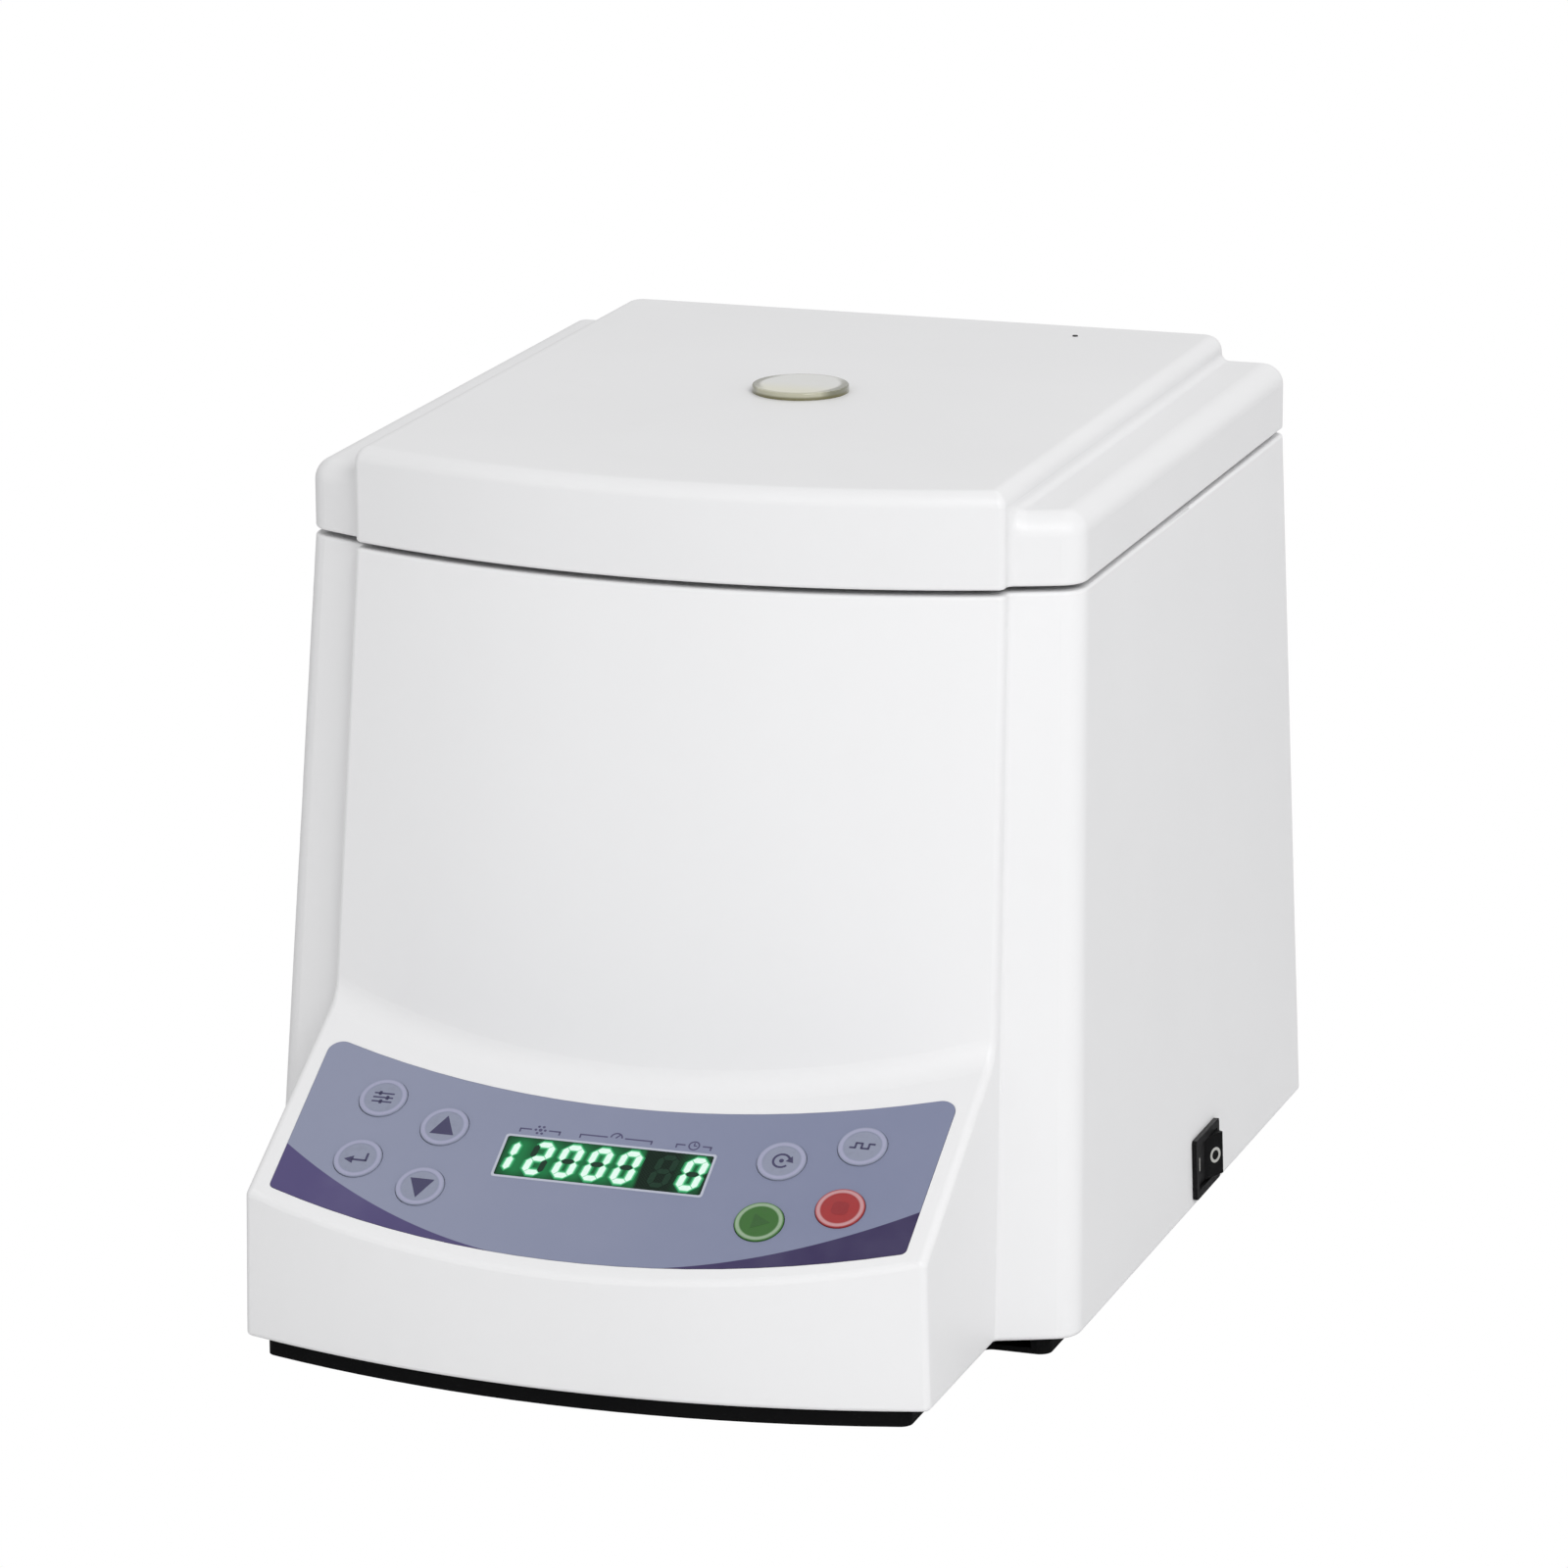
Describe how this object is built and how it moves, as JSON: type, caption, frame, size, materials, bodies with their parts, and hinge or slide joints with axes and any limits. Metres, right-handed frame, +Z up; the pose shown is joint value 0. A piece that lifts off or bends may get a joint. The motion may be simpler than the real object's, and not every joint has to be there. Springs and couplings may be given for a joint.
{
  "type": "hematocrit centrifuge",
  "caption": "Bench centrifuge for capillary tubes: tall moulded body, stepped hinged lid with a view port, sloped control console, side rocker switch and rear power inlet.",
  "frame": {"origin": "middle of the footprint, on the bench under the rubber feet", "axes": "+X to the user's right, +Y to the rear, +Z up; the control console faces -Y"},
  "size_m": [0.3044, 0.4108, 0.3112],
  "materials": {
    "shell": "fine satin moulding",
    "lid": "fine satin moulding",
    "base": "black powder coat",
    "sheet": "grey powder coat",
    "steel": "satin",
    "bowl_steel": "spun, satin",
    "cast": "machined",
    "rotor_metal": "clear anodised",
    "iron": "laminated, lacquered",
    "rubber": "matt",
    "red_rubber": "matt",
    "overlay": "printed film, satin",
    "display": "tinted",
    "clear": "clear moulding",
    "black": "semi gloss",
    "board": "solder mask",
    "ribbon": "flat cable",
    "pale_key": "printed film, satin",
    "green_key": "printed film, satin",
    "red_key": "printed film, satin",
    "pin_brass": "bright"
  },
  "bodies": {
    "base": {"base_pan": "base", "rubber_feet": "rubber", "base_screws": "steel", "main_housing": "shell", "support_posts": "steel", "chamber_plate": "sheet", "guard_ring": "sheet", "chamber_bowl": "bowl_steel", "chamber_seal": "rubber", "motor_dampers": "rubber", "motor_plate": "cast", "motor_body": "cast", "motor_bearings": "steel", "stator_core": "iron", "shaft_boot": "rubber", "lock_body": "black", "lock_solenoid": "sheet", "control_overlay": "overlay", "display_window": "display", "display_module": "black", "control_board": "board", "switch_frame": "black", "power_inlet": "black", "inlet_pins": "pin_brass", "fuse_holder": "black", "rear_grille": "black", "fan_frame": "black", "drive_board": "board", "heat_sink": "cast", "ribbon_cable": "ribbon", "hinge_base_leaves": "steel", "hinge_pins": "steel"},
    "lid": {"hinge_lid_leaves": "steel", "lid_shell": "lid", "lid_liner": "lid", "lid_screws": "steel", "window_lens": "clear", "window_nut": "black", "lid_plug": "black", "lid_striker": "steel"},
    "rotor": {"drive_shaft": "steel", "rotor_core": "iron", "rotor_hub": "cast", "rotor_disc": "rotor_metal", "rotor_gasket": "red_rubber"},
    "cover": {"rotor_cover": "rotor_metal"},
    "knob": {"cover_knob": "black"},
    "fan": {"fan_rotor": "black"},
    "bolt": {"lock_bolt": "steel"},
    "rocker": {"switch_rocker": "black"},
    "fuse_carrier": {"fuse_cap": "black"},
    "set_key_cap": {"set_key": "pale_key"},
    "up_key_cap": {"up_key": "pale_key"},
    "enter_key_cap": {"enter_key": "pale_key"},
    "down_key_cap": {"down_key": "pale_key"},
    "force_key_cap": {"force_key": "pale_key"},
    "short_run_key_cap": {"short_run_key": "pale_key"},
    "start_key_cap": {"start_key": "green_key"},
    "stop_key_cap": {"stop_key": "red_key"}
  },
  "joints": [
    {"name": "lid_hinge", "type": "hinge", "parent": "base", "child": "lid", "pos_m": [0, 0.2028, 0.2733], "axis": [-1, 0, 0], "range_deg": [0, 80]},
    {"name": "rotor_spin", "type": "hinge", "parent": "base", "child": "rotor", "pos_m": [0, 0.0525, 0.2353], "axis": [0, 0, 1], "continuous": true},
    {"name": "cover_lift", "type": "slide", "parent": "rotor", "child": "cover", "axis": [0, 0, 1], "range_m": [0, 0.012]},
    {"name": "knob_turn", "type": "hinge", "parent": "cover", "child": "knob", "pos_m": [0, 0.0525, 0.2533], "axis": [0, 0, 1], "range_deg": [0, 720]},
    {"name": "fan_spin", "type": "hinge", "parent": "base", "child": "fan", "pos_m": [-0.07, 0.19156, 0.08163], "axis": [0, 0.9996, 0.0287], "continuous": true},
    {"name": "bolt_throw", "type": "slide", "parent": "base", "child": "bolt", "axis": [-1, 0, 0], "range_m": [0, 0.012]},
    {"name": "rocker_tip", "type": "hinge", "parent": "base", "child": "rocker", "pos_m": [0.14654, 0.0675, 0.02845], "axis": [-0.0325, 0, 0.9995], "range_deg": [0, 22]},
    {"name": "fuse_turn", "type": "hinge", "parent": "base", "child": "fuse_carrier", "pos_m": [0.092, 0.19959, 0.04583], "axis": [0, 0.9996, 0.0287], "range_deg": [0, 90]},
    {"name": "set_key_press", "type": "slide", "parent": "base", "child": "set_key_cap", "axis": [0, 0.5112, -0.8595], "range_m": [0, 0.0004], "stiffness_N_per_m": 2500, "springref_m": -0.0002},
    {"name": "up_key_press", "type": "slide", "parent": "base", "child": "up_key_cap", "axis": [0, 0.5112, -0.8595], "range_m": [0, 0.0004], "stiffness_N_per_m": 2500, "springref_m": -0.0002},
    {"name": "enter_key_press", "type": "slide", "parent": "base", "child": "enter_key_cap", "axis": [0, 0.5112, -0.8595], "range_m": [0, 0.0004], "stiffness_N_per_m": 2500, "springref_m": -0.0002},
    {"name": "down_key_press", "type": "slide", "parent": "base", "child": "down_key_cap", "axis": [0, 0.5112, -0.8595], "range_m": [0, 0.0004], "stiffness_N_per_m": 2500, "springref_m": -0.0002},
    {"name": "force_key_press", "type": "slide", "parent": "base", "child": "force_key_cap", "axis": [0, 0.5112, -0.8595], "range_m": [0, 0.0004], "stiffness_N_per_m": 2500, "springref_m": -0.0002},
    {"name": "short_run_key_press", "type": "slide", "parent": "base", "child": "short_run_key_cap", "axis": [0, 0.5112, -0.8595], "range_m": [0, 0.0004], "stiffness_N_per_m": 2500, "springref_m": -0.0002},
    {"name": "start_key_press", "type": "slide", "parent": "base", "child": "start_key_cap", "axis": [0, 0.5112, -0.8595], "range_m": [0, 0.0004], "stiffness_N_per_m": 2500, "springref_m": -0.0002},
    {"name": "stop_key_press", "type": "slide", "parent": "base", "child": "stop_key_cap", "axis": [0, 0.5112, -0.8595], "range_m": [0, 0.0004], "stiffness_N_per_m": 2500, "springref_m": -0.0002}
  ]
}
